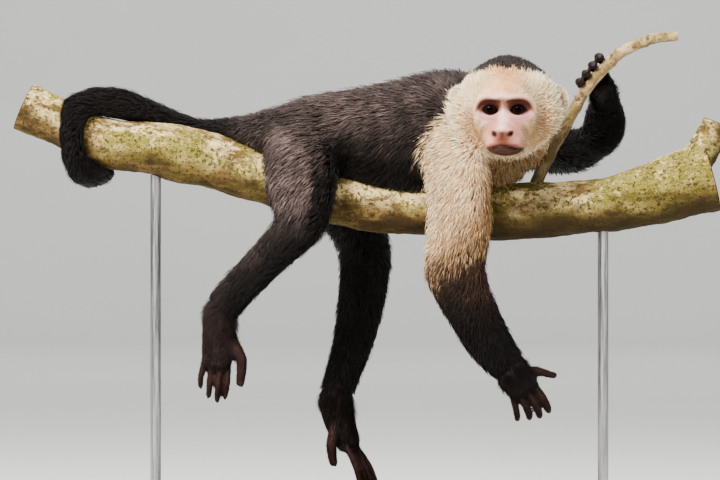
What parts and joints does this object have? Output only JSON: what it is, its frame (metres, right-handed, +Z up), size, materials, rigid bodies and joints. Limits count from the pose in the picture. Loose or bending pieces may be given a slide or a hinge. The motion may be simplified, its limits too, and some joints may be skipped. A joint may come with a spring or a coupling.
{
  "type": "white-faced capuchin monkey display model",
  "caption": "Life-size white-faced capuchin monkey lying along a cut limb, tail curled round it, one hand gripping a stem, held up on a flat stand by two rods.",
  "frame": {"origin": "on the underside of the stand's flat base, below the middle of the limb", "axes": "+Z up, +X from tail to head along the limb, -Y the side that the face looks toward"},
  "size_m": [0.6644, 0.2344, 0.461],
  "materials": {
    "black_coat": "matt",
    "cream_coat": "matt",
    "dark_skin": "matt",
    "eye": "polished",
    "bark": "rough",
    "stand_wood": "satin",
    "stand_steel": "brushed"
  },
  "bodies": {
    "root": {"ear_left": "cream_coat", "ear_right": "cream_coat", "eye_left": "eye", "eye_right": "eye", "foot_left": "dark_skin", "foot_left_fifth": "dark_skin", "foot_left_fourth": "dark_skin", "foot_left_hallux": "dark_skin", "foot_left_second": "dark_skin", "foot_left_third": "dark_skin", "foot_right": "dark_skin", "foot_right_fifth": "dark_skin", "foot_right_fourth": "dark_skin", "foot_right_hallux": "dark_skin", "foot_right_second": "dark_skin", "foot_right_third": "dark_skin", "forearm_left": "black_coat", "forearm_right": "black_coat", "hand_left": "dark_skin", "hand_left_index": "dark_skin", "hand_left_little": "dark_skin", "hand_left_middle": "dark_skin", "hand_left_ring": "dark_skin", "hand_left_thumb": "dark_skin", "hand_right": "dark_skin", "hand_right_index": "dark_skin", "hand_right_little": "dark_skin", "hand_right_middle": "dark_skin", "hand_right_ring": "dark_skin", "hand_right_thumb": "dark_skin", "head": "cream_coat", "neck": "cream_coat", "perch_limb": "bark", "perch_twig": "bark", "shank_left": "black_coat", "shank_right": "black_coat", "stand_base": "stand_wood", "stand_rod_left": "stand_steel", "stand_rod_right": "stand_steel", "tail_1": "black_coat", "tail_2": "black_coat", "tail_3": "black_coat", "tail_4": "black_coat", "tail_5": "black_coat", "thigh_left": "black_coat", "thigh_right": "black_coat", "trunk_chest": "black_coat", "trunk_hips": "black_coat", "trunk_loin": "black_coat", "upper_arm_left": "black_coat", "upper_arm_right": "cream_coat"}
  },
  "joints": []
}
